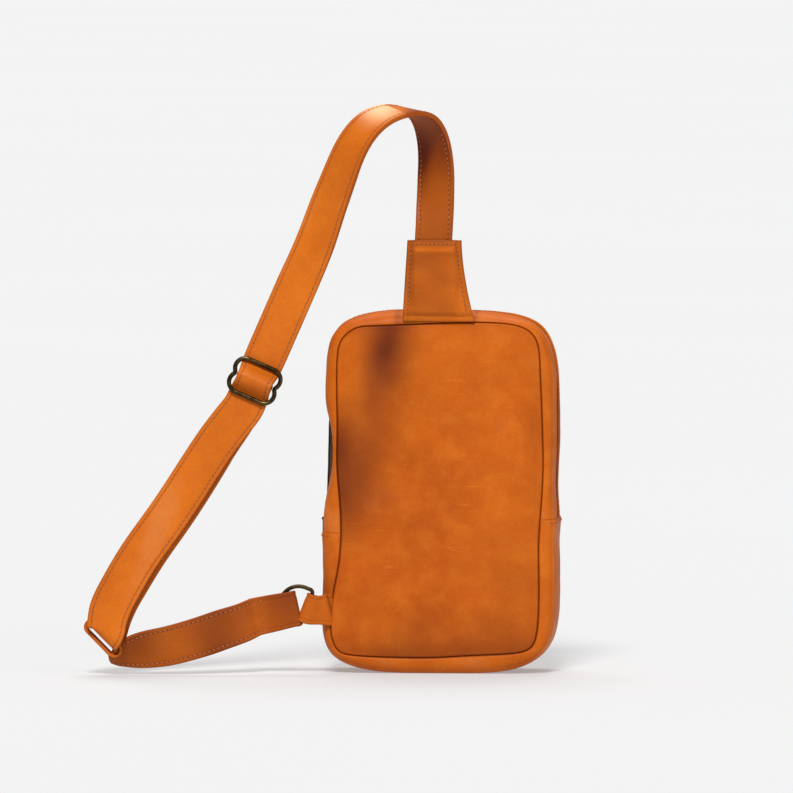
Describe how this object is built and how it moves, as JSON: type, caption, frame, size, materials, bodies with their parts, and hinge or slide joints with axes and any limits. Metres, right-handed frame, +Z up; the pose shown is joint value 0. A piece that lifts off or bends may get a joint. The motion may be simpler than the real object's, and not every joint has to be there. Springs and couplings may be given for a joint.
{
  "type": "sling bag",
  "caption": "Upright leather sling bag with a zipped top and sides, a single adjustable shoulder strap from a top tab to a side ring.",
  "frame": {"origin": "centre of the flat base the bag stands on", "axes": "+Z up, +Y from the wearer's side to the outer side, +X to the right when looking at the wearer's side"},
  "size_m": [0.3748, 0.1175, 0.4554],
  "materials": {
    "panel_leather": "pull-up leather, soft satin",
    "gusset_leather": "pull-up leather, soft satin",
    "strap_leather": "pull-up leather, burnished edges",
    "lining": "plain woven cloth",
    "tape": "woven zipper tape",
    "metal": "antique brass"
  },
  "bodies": {
    "bag": {"anchor_tab_back": "strap_leather", "anchor_tab_front": "strap_leather", "back_panel": "panel_leather", "front_panel": "panel_leather", "lining_back": "lining", "lining_front": "lining", "lining_lower": "lining", "lining_upper_back": "lining", "lining_upper_front": "lining", "lower_gusset": "gusset_leather", "side_tab": "strap_leather", "upper_gusset_back": "gusset_leather", "upper_gusset_front": "gusset_leather", "zipper_stop_left": "metal", "zipper_stop_right": "metal", "zipper_tape_back": "tape", "zipper_tape_front": "tape", "zipper_teeth_back": "metal", "zipper_teeth_front": "metal"},
    "zip_slider": {"zip_slider": "metal"},
    "zip_pull": {"zip_pull": "metal"},
    "strap": {"strap_back_fold": "strap_leather", "strap_back_leg": "strap_leather", "strap_back_return": "strap_leather", "strap_back_return_end": "strap_leather", "strap_back_run": "strap_leather", "strap_back_upper": "strap_leather", "strap_face_fold": "strap_leather", "strap_face_leg": "strap_leather", "strap_face_return": "strap_leather", "strap_face_return_end": "strap_leather", "strap_face_run": "strap_leather", "strap_face_upper": "strap_leather", "lower_strap": "strap_leather"},
    "d_ring": {"d_ring": "metal"},
    "adjuster": {"adjuster_frame": "metal", "adjuster_bar": "metal", "strap_end_fold": "strap_leather"}
  },
  "joints": [
    {"name": "zip_slide", "type": "slide", "parent": "bag", "child": "zip_slider", "axis": [0, 0, 1], "range_m": [0, 0.11]},
    {"name": "pull_hinge", "type": "hinge", "parent": "zip_slider", "child": "zip_pull", "pos_m": [-0.0934, 0, 0.122], "axis": [0, 1, 0], "range_deg": [0, 120]},
    {"name": "strap_swing", "type": "hinge", "parent": "bag", "child": "strap", "pos_m": [-0.1038, -0.0393, 0.0524], "axis": [0.3584, 0, 0.9336], "range_deg": [-35, 60], "deforming": ["anchor_tab_front", "anchor_tab_back"]},
    {"name": "ring_swing", "type": "hinge", "parent": "bag", "child": "d_ring", "pos_m": [-0.1038, -0.0393, 0.0524], "axis": [0.3584, 0, 0.9336], "range_deg": [-35, 60]},
    {"name": "adjuster_slide", "type": "slide", "parent": "strap", "child": "adjuster", "axis": [0.3985, 0.0539, 0.9156], "range_m": [0, 0.04], "deforming": ["strap_face_run", "strap_back_run", "strap_face_return_end", "strap_back_return_end"]}
  ],
  "couplings": [
    {"joint": "ring_swing", "follows": "strap_swing", "ratio": 1}
  ]
}
